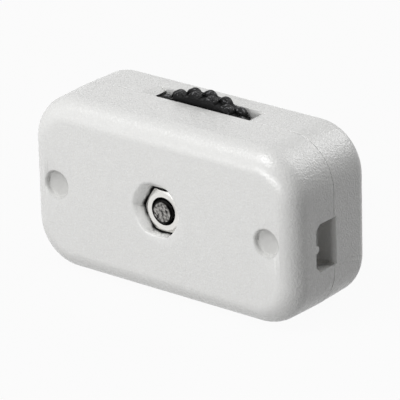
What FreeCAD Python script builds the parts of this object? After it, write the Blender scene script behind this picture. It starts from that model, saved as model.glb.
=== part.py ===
import FreeCAD, Part
import math
import os
import re
import Sketcher

# An inline lamp-cord switch: two moulded halves clamped on a flat two-core cord by one machine
# screw and a hex nut. A knobbed thumbwheel turns on a boss of the rear half and carries a brass
# bridge that joins two fixed contact strips. Each strip has two pins that pierce the cut core.
#
# Frame in millimetres: X along the cord, -Y the front face with the nut, +Z up, the origin on the
# floor under the middle of the box. Each body is drawn from the point where the screw axis crosses
# the joint face of the two halves, and is then lifted and shifted to its place.

# Driving sizes, in mm and degrees. Heights are from the screw axis and depths are from the joint
# face, with the front half at negative depth.
SIZES = [
    ("body_length", 50.0),
    ("body_height", 27.75),
    ("corner_radius", 7.6),
    ("front_depth", 9.5),
    ("rear_depth", 8.5),
    ("front_draft", 1.5),
    ("rear_draft", 1.3),
    ("front_edge_radius", 3.5),
    ("rear_edge_radius", 2.1),
    ("seam_round", 0.12),
    ("dimple_inset", 5.3),
    ("dimple_radius", 2.2),
    ("dimple_depth", 0.85),
    ("dimple_wall_slope", 20.0),
    ("dimple_bevel", 0.2),
    ("cord_top", 2.2),
    ("cord_width", 7.55),
    ("cord_depth", 4.25),
    ("cord_corner", 0.9),
    ("cord_relief", 0.55),
    ("ridge_height", 0.65),
    ("ridge_width", 1.35),
    ("ridge_length", 3.0),
    ("core_lane", 4.4),
    ("nut_across", 6.35),
    ("nut_thickness", 2.4),
    ("nut_sunk", 1.1),
    ("nut_chamfer", 0.4),
    ("nut_clearance", 0.1),
    ("nut_rim_across", 8.0),
    ("nut_rim_depth", 1.6),
    ("nut_rim_round", 0.5),
    ("screw_radius", 1.75),
    ("screw_length", 14.3),
    ("screw_tip_sunk", 0.65),
    ("screw_tip_chamfer", 0.42),
    ("screw_clearance", 0.15),
    ("thread_clearance", 0.05),
    ("head_radius", 3.35),
    ("head_height", 1.9),
    ("head_round", 0.7),
    ("head_clearance", 0.35),
    ("slot_width", 0.9),
    ("slot_depth", 0.95),
    ("wheel_rise", 1.57),
    ("wheel_gap", 0.45),
    ("wheel_thickness", 3.0),
    ("wheel_bore_clearance", 0.07),
    ("wheel_tip_clearance", 0.2),
    ("wheel_end_play", 0.1),
    ("knob_radius", 1.0),
    ("knob_ring_radius", 13.4),
    ("knob_sunk", 0.1),
    ("knob_count", 28.0),
    ("knob_phase", 3.4),
    ("knob_bevel", 0.38),
    ("hub_wall", 0.78),
    ("rim_width", 1.3),
    ("dish_depth", 0.5),
    ("notch_depth", 0.35),
    ("notch_floor", 0.9),
    ("notch_mouth", 1.9),
    ("notch_length", 3.8),
    ("notch_count", 4.0),
    ("boss_radius", 4.75),
    ("collar_radius", 6.5),
    ("cavity_depth", 3.85),
    ("well_radius", 11.6),
    ("well_depth", 6.5),
    ("finger_slot_half", 8.2),
    ("finger_slot_drop", 1.0),
    ("finger_ramp", 1.4),
    ("finger_lip", 0.25),
    ("bridge_thickness", 0.5),
    ("bridge_margin", 0.6),
    ("bridge_width", 5.0),
    ("bridge_corner", 1.5),
    ("bridge_ring_wall", 1.7),
    ("seat_clearance", 0.1),
    ("rivet_radius", 0.4),
    ("rivet_head_radius", 0.75),
    ("rivet_head_height", 0.35),
    ("rivet_length", 1.7),
    ("strip_thickness", 0.3),
    ("strip_margin", 0.6),
    ("strip_length", 5.4),
    ("strip_bottom", -1.1),
    ("strip_top", 3.7),
    ("arm_width", 2.4),
    ("arm_gap", 0.05),
    ("button_inset", 1.9),
    ("button_radius", 0.9),
    ("button_shank_radius", 0.45),
    ("button_gap", 0.05),
    ("button_round", 0.2),
    ("pin_inset", 1.4),
    ("pin_pitch", 2.5),
    ("pin_height", 0.3),
    ("pin_radius", 0.55),
    ("pin_tail_radius", 0.4),
    ("pin_flange_radius", 0.85),
    ("pin_reach", 3.1),
    ("pin_point", 1.1),
    ("pin_tip_radius", 0.1),
    ("stake_height", 2.65),
    ("stake_radius", 0.6),
    ("stake_head_radius", 0.9),
    ("peg_inset", 4.1),
    ("peg_height", 7.2),
    ("peg_radius", 1.1),
    ("peg_length", 1.8),
    ("peg_clearance", 0.1),
    ("cell_width", 4.4),
    ("cell_inner", 8.4),
    ("cell_rib", 1.2),
    ("cell_depth", 6.0),
    ("cell_wall", 2.1),
    ("cell_round", 0.8),
    ("pocket_width", 3.0),
    ("pocket_margin", 0.4),
    ("pocket_depth", 5.0),
    ("spring_radius", 9.9),
    ("spring_half_length", 5.75),
    ("spring_foot", 0.9),
    ("spring_width", 2.6),
    ("spring_thickness", 0.3),
    ("spring_crown", 0.7),
    ("spring_nub", 0.3),
    ("spring_seat_depth", 0.5),
    ("over_cut", 1.0),
]

doc = FreeCAD.newDocument("InlineCordSwitch")
sheet = doc.addObject("Spreadsheet::Sheet", "Sizes")
for row, (alias, size) in enumerate(SIZES, start=1):
    sheet.set(f"A{row}", alias)
    sheet.set(f"B{row}", str(size))
    sheet.setAlias(f"B{row}", alias)
doc.recompute()

ALIASES = {alias for alias, size in SIZES}

# Formulas that several pieces share, written once in terms of the sheet.
FRONT_FACE = "(-front_depth)"
HEAD_SEAT = "(screw_length - front_depth + screw_tip_sunk)"
CORD_BOTTOM = "(cord_top - cord_width)"
WHEEL_BACK = "(wheel_gap + wheel_thickness)"
DISH_FLOOR = "(wheel_gap + dish_depth)"
BRIDGE_BACK = "(wheel_gap + dish_depth + bridge_thickness)"
WHEEL_BORE = "(boss_radius + wheel_bore_clearance)"
HUB_RADIUS = "(boss_radius + wheel_bore_clearance + hub_wall)"
COLLAR_FACE = "(wheel_gap + wheel_thickness + wheel_end_play)"
CAVITY_RADIUS = "(knob_ring_radius + knob_radius + wheel_tip_clearance)"
WHEEL_ROOT = "(knob_ring_radius - knob_sunk)"
DISH_RADIUS = "(knob_ring_radius - knob_sunk - rim_width)"
BRIDGE_REACH = f"({DISH_RADIUS} - bridge_margin)"
BUTTON_REACH = f"({DISH_RADIUS} - bridge_margin - button_inset)"
STRIP_INNER = f"({CAVITY_RADIUS} + strip_margin)"
STRIP_OUTER = f"({CAVITY_RADIUS} + strip_margin + strip_length)"
PIN_INNER = f"({STRIP_INNER} + pin_inset)"
PIN_OUTER = f"({STRIP_INNER} + pin_inset + pin_pitch)"
STAKE_OFFSET = f"({STRIP_INNER} + pin_inset + pin_pitch / 2)"
DIMPLE_OFFSET = "(body_length / 2 - dimple_inset)"
PEG_OFFSET = "(body_length / 2 - peg_inset)"
STRIP_FACE = "(arm_gap + strip_thickness)"
STRIP_BACK = "(arm_gap + 2 * strip_thickness)"
BRIDGE_HOLE = f"({HUB_RADIUS} + seat_clearance)"
RING_RADIUS = f"({BRIDGE_HOLE} + bridge_ring_wall)"
RIVET_RING = f"({BRIDGE_HOLE} + bridge_ring_wall / 2)"
CHAMBER_RADIUS = f"({HUB_RADIUS} - wheel_rise + core_lane)"
SPRING_HEIGHT = "(wheel_rise - spring_radius)"


def bound(formula):
    """Put the sheet's name before each alias of a formula."""
    return re.sub(
        r"[a-z][a-z_]*", lambda m: "Sizes." + m.group() if m.group() in ALIASES else m.group(), formula
    )


def value(formula):
    """The number that a formula has now, for a sketch's first guess."""
    return float(sheet.evalExpression(bound(formula)))


def new_body(label, height="0", across="0"):
    """A body drawn from the screw axis at the joint face, then set in its place."""
    body = doc.addObject("PartDesign::Body", label)
    body.Label = label
    body.setExpression("Placement.Base.x", bound(across))
    body.setExpression("Placement.Base.y", bound("(front_depth - rear_depth) / 2"))
    body.setExpression("Placement.Base.z", bound(f"body_height / 2 + {height}"))
    return body


class Drawing:
    """A sketch on an origin plane of its body, every point of it bound to the sheet."""

    def __init__(self, body, name, plane="XZ_Plane", offset="0"):
        self.sketch = body.newObject("Sketcher::SketchObject", name)
        support = next(o for o in body.Origin.OriginFeatures if o.Role == plane)
        self.sketch.AttachmentSupport = [(support, "")]
        self.sketch.MapMode = "FlatFace"
        # The XZ plane looks along -Y, so a depth is minus the offset along its normal.
        sign = "-" if plane == "XZ_Plane" else ""
        self.sketch.setExpression("AttachmentOffset.Base.z", bound(f"{sign}({offset})"))

    def bind(self, kind, *where, formula):
        index = self.sketch.addConstraint(Sketcher.Constraint(kind, *where, value(formula)))
        self.sketch.setExpression(f"Constraints[{index}]", bound(formula))

    def fix(self, geometry, point, across, up):
        """Hold one point at a place given by two formulas."""
        for kind, formula, axis in (("DistanceX", across, -2), ("DistanceY", up, -1)):
            if formula == "0":
                self.sketch.addConstraint(Sketcher.Constraint("PointOnObject", geometry, point, axis))
            else:
                self.bind(kind, -1, 1, geometry, point, formula=formula)

    def circle(self, radius, across="0", up="0"):
        centre = FreeCAD.Vector(value(across), value(up), 0)
        axis = FreeCAD.Vector(0, 0, 1)
        geometry = self.sketch.addGeometry(Part.Circle(centre, axis, value(radius)))
        self.fix(geometry, 3, across, up)
        self.bind("Radius", geometry, formula=radius)
        return self

    def outline(self, points):
        """A closed outline of straight lines through points given by formulas."""
        places = [FreeCAD.Vector(value(across), value(up), 0) for across, up in points]
        lines = [
            self.sketch.addGeometry(Part.LineSegment(start, end))
            for start, end in zip(places, places[1:] + places[:1])
        ]
        for line, following, (across, up) in zip(lines, lines[1:] + lines[:1], points):
            self.sketch.addConstraint(Sketcher.Constraint("Coincident", line, 2, following, 1))
            self.fix(line, 1, across, up)
        return self

    def rectangle(self, left, right, bottom, top):
        return self.outline([(left, bottom), (right, bottom), (right, top), (left, top)])

    def rounded(self, left, right, bottom, top, radius):
        """A rectangle whose corners are arcs of one radius."""
        x0, x1, y0, y1, r = (value(formula) for formula in (left, right, bottom, top, radius))
        corners = [(x0 + r, y0 + r, 2), (x1 - r, y0 + r, 3), (x1 - r, y1 - r, 0), (x0 + r, y1 - r, 1)]
        quarter = math.pi / 2
        arcs = []
        for x, y, turn in corners:
            circle = Part.Circle(FreeCAD.Vector(x, y, 0), FreeCAD.Vector(0, 0, 1), r)
            arc = Part.ArcOfCircle(circle, turn * quarter, (turn + 1) * quarter)
            arcs.append(self.sketch.addGeometry(arc))
        sides = []
        for arc, following in zip(arcs, arcs[1:] + arcs[:1]):
            start = self.sketch.Geometry[arc].EndPoint
            end = self.sketch.Geometry[following].StartPoint
            line = self.sketch.addGeometry(Part.LineSegment(start, end))
            self.sketch.addConstraint(Sketcher.Constraint("Tangent", arc, 2, line, 1))
            self.sketch.addConstraint(Sketcher.Constraint("Tangent", line, 2, following, 1))
            sides.append(line)
        for arc in arcs[1:]:
            self.sketch.addConstraint(Sketcher.Constraint("Equal", arcs[0], arc))
        self.bind("Radius", arcs[0], formula=radius)
        below, right_side, above, left_side = sides
        for line, kind in ((below, "Horizontal"), (right_side, "Vertical"), (above, "Horizontal"),
                           (left_side, "Vertical")):
            self.sketch.addConstraint(Sketcher.Constraint(kind, line))
        self.bind("DistanceY", -1, 1, below, 1, formula=bottom)
        self.bind("DistanceX", -1, 1, right_side, 1, formula=right)
        self.bind("DistanceY", -1, 1, above, 1, formula=top)
        self.bind("DistanceX", -1, 1, left_side, 1, formula=left)
        return self

    def hexagon(self, across_flats):
        """A hexagon with two corners on the horizontal axis."""
        wide = f"({across_flats}) / sqrt(3)"
        half = f"({across_flats}) / sqrt(3) / 2"
        high = f"({across_flats}) / 2"
        low = f"-({across_flats}) / 2"
        return self.outline([
            (wide, "0"), (half, high), (f"-({half})", high), (f"-({wide})", "0"), (f"-({half})", low),
            (half, low),
        ])


def pad(body, name, drawing, length, backwards=False, taper=None, middle=False):
    """Raise a drawing: from the XZ plane it goes towards -Y, or backwards towards +Y."""
    feature = body.newObject("PartDesign::Pad", name)
    feature.Profile = drawing.sketch
    feature.setExpression("Length", bound(length))
    feature.Reversed = backwards
    if taper:
        feature.setExpression("TaperAngle", bound(taper))
    feature.Midplane = middle
    return feature


def pocket(body, name, drawing, length, towards_front=False, taper=None, middle=False):
    """Cut a drawing: from the XZ plane the cut goes towards +Y, or towards the front, -Y."""
    feature = body.newObject("PartDesign::Pocket", name)
    feature.Profile = drawing.sketch
    feature.setExpression("Length", bound(length))
    feature.Reversed = towards_front
    if taper:
        feature.setExpression("TaperAngle", bound(taper))
    feature.Midplane = middle
    return feature


def turned(body, name, points):
    """A solid of revolution about Y: each point is a radius and a depth."""
    profile = Drawing(body, name + "Profile", "XY_Plane").outline(points)
    feature = body.newObject("PartDesign::Revolution", name)
    feature.Profile = profile.sketch
    feature.ReferenceAxis = (profile.sketch, ["V_Axis"])
    feature.Angle = 360
    return feature


def rounded_off(body, name, depth, radius, within=None):
    """Fillet the edges of the body's last feature that lie at one depth."""
    doc.recompute()
    base = body.Tip
    level = value(depth)
    edges = []
    for number, edge in enumerate(base.Shape.Edges, start=1):
        box = edge.BoundBox
        if abs(box.YMin - level) > 1e-4 or abs(box.YMax - level) > 1e-4:
            continue
        if within and max(abs(box.XMin), abs(box.XMax)) > value(within):
            continue
        edges.append(f"Edge{number}")
    feature = body.newObject("PartDesign::Fillet", name)
    feature.Base = (base, edges)
    feature.setExpression("Radius", bound(radius))
    return feature


def repeated(body, name, feature, count):
    """Repeat a feature round the body's Y axis."""
    pattern = body.newObject("PartDesign::PolarPattern", name)
    pattern.Originals = [feature]
    axis = next(o for o in body.Origin.OriginFeatures if o.Role == "Y_Axis")
    pattern.Axis = (axis, [""])
    pattern.Angle = 360
    pattern.setExpression("Occurrences", bound(count))
    body.Tip = pattern
    return pattern


def shell_block(body, depth, draft, edge_radius, backwards):
    """The outside of one half: a drafted pad with a rounded face edge."""
    outline = Drawing(body, "Outline").rounded(
        "-body_length / 2", "body_length / 2", "-body_height / 2", "body_height / 2", "corner_radius"
    )
    pad(body, "Block", outline, depth, backwards=backwards, taper=f"-{draft}")
    level = depth if backwards else f"-{depth}"
    rounded_off(body, "FaceEdge", level, edge_radius)
    rounded_off(body, "SeamEdge", "0", "seam_round")


# Front half: draft, rounded edges, two blind dimples, hexagonal nut pocket, cord channel that
# parts round the central post, and cored cells behind the face.
def front_housing():
    body = new_body("front_housing")
    shell_block(body, "front_depth", "front_draft", "front_edge_radius", backwards=False)

    dimples = Drawing(body, "Dimples", offset=FRONT_FACE)
    dimples.circle("dimple_radius", DIMPLE_OFFSET).circle("dimple_radius", f"-{DIMPLE_OFFSET}")
    pocket(body, "DimpleCut", dimples, "dimple_depth", taper="-dimple_wall_slope")
    rims = Drawing(body, "DimpleRims", offset=FRONT_FACE)
    for place in (DIMPLE_OFFSET, f"-{DIMPLE_OFFSET}"):
        rims.circle("dimple_radius + dimple_bevel", place)
    pocket(body, "DimpleRimCut", rims, "dimple_bevel", taper="-45")

    ridge_low = f"({CORD_BOTTOM} + cord_width / 2 - ridge_width / 2)"
    ridge_high = f"({CORD_BOTTOM} + cord_width / 2 + ridge_width / 2)"
    channel = Drawing(body, "CordChannel", "YZ_Plane").outline([
        ("0", "cord_top"),
        ("-cord_depth + cord_corner", "cord_top"),
        ("-cord_depth", "cord_top - cord_corner"),
        ("-cord_depth", ridge_high),
        ("-cord_depth + ridge_height", f"{ridge_high} - ridge_width / 4"),
        ("-cord_depth + ridge_height", f"{ridge_low} + ridge_width / 4"),
        ("-cord_depth", ridge_low),
        ("-cord_depth", f"{CORD_BOTTOM} + cord_corner"),
        ("-cord_depth + cord_corner", CORD_BOTTOM),
        ("0", CORD_BOTTOM),
    ])
    pocket(body, "ChannelCut", channel, "body_length + 2 * over_cut", middle=True)
    floor = Drawing(body, "ChannelFloor", "YZ_Plane").rectangle(
        "-cord_depth", "-cord_depth + ridge_height", ridge_low, ridge_high
    )
    pocket(body, "FloorCut", floor, "body_length - 2 * ridge_length", middle=True)

    chamber = Drawing(body, "Chamber").circle(CHAMBER_RADIUS)
    pocket(body, "ChamberCut", chamber, "cord_depth", towards_front=True)
    post = Drawing(body, "Post").circle(HUB_RADIUS, up="wheel_rise")
    pad(body, "PostPad", post, "cord_depth + cord_corner")

    bore = Drawing(body, "ScrewBore").circle("screw_radius + screw_clearance")
    pocket(body, "ScrewBoreCut", bore, "front_depth", towards_front=True)
    seat = Drawing(body, "NutSeat", offset=FRONT_FACE).hexagon("nut_across + nut_clearance")
    pocket(body, "NutSeatCut", seat, "nut_sunk + nut_thickness")
    rim = Drawing(body, "NutRim", offset=FRONT_FACE).hexagon("nut_rim_across")
    slope = "-atan((nut_rim_across - nut_across - nut_clearance) / 2 / nut_rim_depth)"
    pocket(body, "NutRimCut", rim, "nut_rim_depth", taper=slope)
    rounded_off(body, "NutRimEdge", FRONT_FACE, "nut_rim_round", within="nut_rim_across")

    sockets = Drawing(body, "PegSockets")
    for side in ("", "-"):
        sockets.circle("peg_radius + peg_clearance", f"{side}{PEG_OFFSET}", f"{side}peg_height")
    pocket(body, "PegSocketCut", sockets, "peg_length + peg_clearance", towards_front=True)

    cells = Drawing(body, "Cells")
    for side in ("", "-"):
        for place in ("cell_inner", "cell_inner + cell_width + cell_rib"):
            near, far = f"{side}({place})", f"{side}({place} + cell_width)"
            left, right = (far, near) if side else (near, far)
            cells.rounded(left, right, "cord_top + cell_rib + strip_thickness",
                          "body_height / 2 - cell_wall", "cell_round")
            cells.rounded(left, right, "-body_height / 2 + cell_wall",
                          f"{CORD_BOTTOM} - cell_rib - strip_thickness", "cell_round")
    pocket(body, "CellCut", cells, "cell_depth", towards_front=True)
    return body


# Rear half: wheel cavity open at the top in a ramped finger slot, boss and thrust collar for the
# wheel, pockets and stakes for the contact strips, counterbore for the screw head.
def rear_housing():
    body = new_body("rear_housing")
    shell_block(body, "rear_depth", "rear_draft", "rear_edge_radius", backwards=True)

    cavity = Drawing(body, "Cavity").circle(CAVITY_RADIUS, up="wheel_rise")
    cavity.circle("collar_radius", up="wheel_rise")
    pocket(body, "CavityCut", cavity, "cavity_depth")
    well = Drawing(body, "Well").circle("well_radius").circle("collar_radius", up="wheel_rise")
    pocket(body, "WellCut", well, "well_depth")
    collar = Drawing(body, "Collar").circle("collar_radius + seat_clearance", up="wheel_rise")
    collar.circle("boss_radius", up="wheel_rise")
    pocket(body, "CollarCut", collar, COLLAR_FACE)

    slot_floor = "body_height / 2 - finger_slot_drop"
    lip = "body_height / 2 - finger_lip"
    above = "body_height / 2 + finger_lip"
    ramp_top = "(finger_slot_half + finger_ramp)"
    lip_end = "(finger_slot_half + finger_ramp + 6 * finger_lip)"
    slot = Drawing(body, "FingerSlot").outline([
        ("-finger_slot_half", slot_floor), ("finger_slot_half", slot_floor),
        (ramp_top, lip), (lip_end, above), (f"-{lip_end}", above), (f"-{ramp_top}", lip),
    ])
    pocket(body, "FingerSlotCut", slot, "cavity_depth")

    for side in ("", "-"):
        name = "Left" if side else "Right"
        inner, outer = "knob_ring_radius", f"({STRIP_OUTER} + seat_clearance)"
        low, high = "strip_bottom - seat_clearance", "strip_top + seat_clearance"
        arm_low = "wheel_rise - arm_width / 2 - seat_clearance"
        arm_high = "wheel_rise + arm_width / 2 + seat_clearance"
        shoulder = f"({STRIP_INNER} - seat_clearance)"
        recess = Drawing(body, f"{name}StripSeat").outline([
            (f"{side}{inner}", arm_low), (f"{side}{shoulder}", arm_low), (f"{side}{shoulder}", low),
            (f"{side}{outer}", low), (f"{side}{outer}", high), (f"{side}{shoulder}", high),
            (f"{side}{shoulder}", arm_high), (f"{side}{inner}", arm_high),
        ])
        pocket(body, f"{name}StripSeatCut", recess, STRIP_BACK)
        stake = Drawing(body, f"{name}Stake", offset="arm_gap")
        stake.circle("stake_radius", f"{side}{STAKE_OFFSET}", "stake_height")
        pad(body, f"{name}StakePad", stake, "2 * strip_thickness", backwards=True)
        head = Drawing(body, f"{name}StakeHead", offset="arm_gap")
        head.circle("stake_head_radius", f"{side}{STAKE_OFFSET}", "stake_height")
        pad(body, f"{name}StakeHeadPad", head, "strip_thickness", backwards=True)
        end = f"({STRIP_OUTER} + stake_head_radius)"
        relief = Drawing(body, f"{name}Relief").outline([
            (f"{side}{end}", CORD_BOTTOM), (f"{side}body_length", CORD_BOTTOM),
            (f"{side}body_length", "cord_top"), (f"{side}{end}", "cord_top"),
        ])
        pocket(body, f"{name}ReliefCut", relief, "cord_relief")

    pockets = Drawing(body, "CornerPockets")
    beside = f"{STRIP_INNER} + pocket_margin"
    for side in ("", "-"):
        near, far = f"{side}({beside})", f"{side}({beside} + pocket_width)"
        left, right = (far, near) if side else (near, far)
        pockets.rounded(left, right, "strip_top + cell_rib", "body_height / 2 - cell_wall - cell_round",
                        "cell_round")
        pockets.rounded(left, right, "-body_height / 2 + cell_wall + cell_round",
                        "strip_bottom - 2 * cell_rib", "cell_round")
    pocket(body, "CornerPocketCut", pockets, "pocket_depth")

    spring_seat = Drawing(body, "SpringSeat", offset="well_depth").rectangle(
        "-spring_half_length - seat_clearance", "spring_half_length + seat_clearance",
        f"{SPRING_HEIGHT} - spring_width / 2 - seat_clearance",
        f"{SPRING_HEIGHT} + spring_width / 2 + seat_clearance",
    )
    pocket(body, "SpringSeatCut", spring_seat, "spring_seat_depth")

    bore = Drawing(body, "ScrewBore").circle("screw_radius + screw_clearance")
    pocket(body, "ScrewBoreCut", bore, "rear_depth")
    counterbore = Drawing(body, "Counterbore", offset=HEAD_SEAT).circle("head_radius + head_clearance")
    pocket(body, "CounterboreCut", counterbore, "rear_depth")

    pegs = Drawing(body, "Pegs")
    for side in ("", "-"):
        pegs.circle("peg_radius", f"{side}{PEG_OFFSET}", f"{side}peg_height")
    pad(body, "PegPad", pegs, "peg_length")
    return body


# Hex nut, sunk in the front half, its threaded hole countersunk and its corners bevelled.
def hex_nut():
    body = new_body("hex_nut")
    block = Drawing(body, "Block", offset=f"{FRONT_FACE} + nut_sunk").hexagon("nut_across")
    pad(body, "BlockPad", block, "nut_thickness", backwards=True)
    hole = Drawing(body, "Hole").circle("screw_radius + thread_clearance")
    pocket(body, "HoleCut", hole, "front_depth", towards_front=True)
    doc.recompute()
    edges = [
        f"Edge{number}"
        for number, edge in enumerate(body.Tip.Shape.Edges, start=1)
        if isinstance(edge.Curve, Part.Circle) and len(edge.Vertexes) == 1
    ]
    base = body.Tip
    countersink = body.newObject("PartDesign::Chamfer", "Countersink")
    countersink.Base = (base, edges)
    countersink.setExpression("Size", bound("nut_chamfer"))
    return body


# Machine screw with a slotted pan head at the back and a bevelled end just past the nut.
def clamp_screw():
    body = new_body("clamp_screw")
    tip = "(-front_depth + screw_tip_sunk)"
    top = f"({HEAD_SEAT} + head_height)"
    turned(body, "Shank", [
        ("0", tip),
        ("screw_radius - screw_tip_chamfer", tip),
        ("screw_radius", f"{tip} + screw_tip_chamfer"),
        ("screw_radius", HEAD_SEAT),
        ("head_radius", HEAD_SEAT),
        ("head_radius", top),
        ("0", top),
    ])
    rounded_off(body, "HeadEdge", top, "head_round")
    slot = Drawing(body, "Slot", offset=top).rectangle(
        "-head_radius - over_cut", "head_radius + over_cut", "-slot_width / 2", "slot_width / 2"
    )
    pocket(body, "SlotCut", slot, "slot_depth", towards_front=True)
    return body


def knob_row(body, name, start, phase):
    """A row of round knobs, each half sunk in the rim."""
    across = f"knob_ring_radius * sin({phase})"
    up = f"knob_ring_radius * cos({phase})"
    knob = Drawing(body, f"{name}Knob", offset=start).circle("knob_radius", across, up)
    raised = pad(body, f"{name}KnobPad", knob, "wheel_thickness / 2", backwards=True)
    repeated(body, f"{name}Row", raised, "knob_count")


def knob_bevels(body):
    """Turn a bevel on both ends of every knob: a cut at each face and a V between the rows."""
    top = "(knob_ring_radius + knob_radius)"
    inside, outside = f"{top} - 2 * knob_bevel", f"{top} + knob_bevel"
    middle = "(wheel_gap + wheel_thickness / 2)"
    profile = Drawing(body, "KnobBevel", "XY_Plane")
    profile.outline([
        (inside, "wheel_gap - knob_bevel"), (outside, "wheel_gap - knob_bevel"),
        (outside, "wheel_gap + 2 * knob_bevel"),
    ])
    profile.outline([
        (f"{top} - knob_bevel", middle), (outside, f"{middle} - 2 * knob_bevel"),
        (outside, f"{middle} + 2 * knob_bevel"),
    ])
    profile.outline([
        (inside, f"{WHEEL_BACK} + knob_bevel"), (outside, f"{WHEEL_BACK} - 2 * knob_bevel"),
        (outside, f"{WHEEL_BACK} + knob_bevel"),
    ])
    cut = body.newObject("PartDesign::Groove", "KnobBevelCut")
    cut.Profile = profile.sketch
    cut.ReferenceAxis = (profile.sketch, ["V_Axis"])
    cut.Angle = 360


# Thumbwheel: two staggered rows of knobs on the rim, a dish in front for the brass bridge, a hub
# that turns on the boss, and four notches behind for the click spring.
def thumbwheel():
    body = new_body("thumbwheel", height="wheel_rise")
    turned(body, "Disc", [
        (WHEEL_BORE, DISH_FLOOR),
        (DISH_RADIUS, DISH_FLOOR),
        (DISH_RADIUS, "wheel_gap"),
        (WHEEL_ROOT, "wheel_gap"),
        (WHEEL_ROOT, WHEEL_BACK),
        (WHEEL_BORE, WHEEL_BACK),
    ])
    knob_row(body, "Front", "wheel_gap", "(knob_phase + 180 / knob_count)")
    knob_row(body, "Back", "(wheel_gap + wheel_thickness / 2)", "knob_phase")
    knob_bevels(body)

    ring = Drawing(body, "RingSeat", offset=DISH_FLOOR).circle(f"{RING_RADIUS} + seat_clearance")
    pocket(body, "RingSeatCut", ring, "bridge_thickness")
    bar = Drawing(body, "BarSeat", offset=DISH_FLOOR).rounded(
        f"-{BRIDGE_REACH} - seat_clearance", f"{BRIDGE_REACH} + seat_clearance",
        "-bridge_width / 2 - seat_clearance", "bridge_width / 2 + seat_clearance", "bridge_corner"
    )
    pocket(body, "BarSeatCut", bar, "bridge_thickness")
    hub = Drawing(body, "Hub", offset=BRIDGE_BACK).circle(HUB_RADIUS).circle(WHEEL_BORE)
    pad(body, "HubPad", hub, f"{BRIDGE_BACK} - wheel_end_play")
    holes = Drawing(body, "RivetHoles", offset=BRIDGE_BACK)
    holes.circle("rivet_radius", up=RIVET_RING).circle("rivet_radius", up=f"-{RIVET_RING}")
    pocket(body, "RivetHoleCut", holes, "rivet_length - bridge_thickness")

    notch = Drawing(body, "Notch", "XY_Plane", offset="spring_radius").outline([
        ("-notch_mouth / 2", WHEEL_BACK), ("-notch_floor / 2", f"{WHEEL_BACK} - notch_depth"),
        ("notch_floor / 2", f"{WHEEL_BACK} - notch_depth"), ("notch_mouth / 2", WHEEL_BACK),
    ])
    cut = pocket(body, "NotchCut", notch, "notch_length", middle=True)
    repeated(body, "Notches", cut, "notch_count")
    return body


# Brass bridge let into the wheel: a ring round the hub with two opposed lobes.
def contact_bridge():
    body = new_body("contact_bridge", height="wheel_rise")
    bar = Drawing(body, "Bar", offset=BRIDGE_BACK).rounded(
        f"-{BRIDGE_REACH}", BRIDGE_REACH, "-bridge_width / 2", "bridge_width / 2", "bridge_corner"
    )
    pad(body, "BarPad", bar, "bridge_thickness")
    ring = Drawing(body, "Ring", offset=BRIDGE_BACK).circle(RING_RADIUS)
    pad(body, "RingPad", ring, "bridge_thickness")
    hole = Drawing(body, "HubHole", offset=DISH_FLOOR).circle(BRIDGE_HOLE)
    pocket(body, "HubHoleCut", hole, "bridge_thickness")
    holes = Drawing(body, "RivetHoles", offset=DISH_FLOOR)
    holes.circle("rivet_radius", up=RIVET_RING).circle("rivet_radius", up=f"-{RIVET_RING}")
    pocket(body, "RivetHoleCut", holes, "bridge_thickness")
    return body


def bridge_rivet(label, side):
    """Drive rivet that holds the bridge in the wheel."""
    body = new_body(label, height=f"wheel_rise + {side}{RIVET_RING}")
    turned(body, "Rivet", [
        ("0", f"{DISH_FLOOR} - rivet_head_height"),
        ("rivet_head_radius - rivet_head_height / 2", f"{DISH_FLOOR} - rivet_head_height"),
        ("rivet_head_radius", f"{DISH_FLOOR} - rivet_head_height / 2"),
        ("rivet_head_radius", DISH_FLOOR),
        ("rivet_radius", DISH_FLOOR),
        ("rivet_radius", f"{DISH_FLOOR} + rivet_length"),
        ("0", f"{DISH_FLOOR} + rivet_length"),
    ])
    return body


def contact_strip(label, side):
    """Brass strip staked in the rear half, its arm stepped forward over the wheel."""
    body = new_body(label)
    tip = f"({BUTTON_REACH} - arm_width / 2)"
    past_tip = f"({tip} - over_cut)"
    bend = f"({STRIP_INNER} - strip_thickness)"
    slack = "strip_thickness / 2"
    profile = Drawing(body, "Profile", "XY_Plane", offset="(strip_bottom + strip_top) / 2").outline([
        (f"{side}{STRIP_OUTER}", STRIP_BACK), (f"{side}{STRIP_INNER}", STRIP_BACK),
        (f"{side}{bend}", STRIP_FACE), (f"{side}{tip}", STRIP_FACE), (f"{side}{tip}", "arm_gap"),
        (f"{side}({bend} + {slack})", "arm_gap"), (f"{side}({STRIP_INNER} + {slack})", STRIP_FACE),
        (f"{side}{STRIP_OUTER}", STRIP_FACE),
    ])
    pad(body, "StripPad", profile, "strip_top - strip_bottom", middle=True)
    through = "(over_cut + 2 * strip_thickness)"
    flanks = (("Upper", "+", "strip_top + over_cut"), ("Lower", "-", "strip_bottom - over_cut"))
    for name, edge, limit in flanks:
        flank = Drawing(body, f"{name}Flank").outline([
            (f"{side}{past_tip}", f"wheel_rise {edge} arm_width / 2"),
            (f"{side}({STRIP_INNER} + {slack})", f"wheel_rise {edge} arm_width / 2"),
            (f"{side}({STRIP_INNER} + {slack})", limit), (f"{side}{past_tip}", limit),
        ])
        pocket(body, f"{name}FlankCut", flank, through)
    holes = Drawing(body, "Holes")
    holes.circle("button_shank_radius", f"{side}{BUTTON_REACH}", "wheel_rise")
    holes.circle("stake_radius", f"{side}{STAKE_OFFSET}", "stake_height")
    for place in (PIN_INNER, PIN_OUTER):
        holes.circle("pin_tail_radius", f"{side}{place}", "pin_height")
    pocket(body, "HoleCut", holes, through)
    return body


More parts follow.
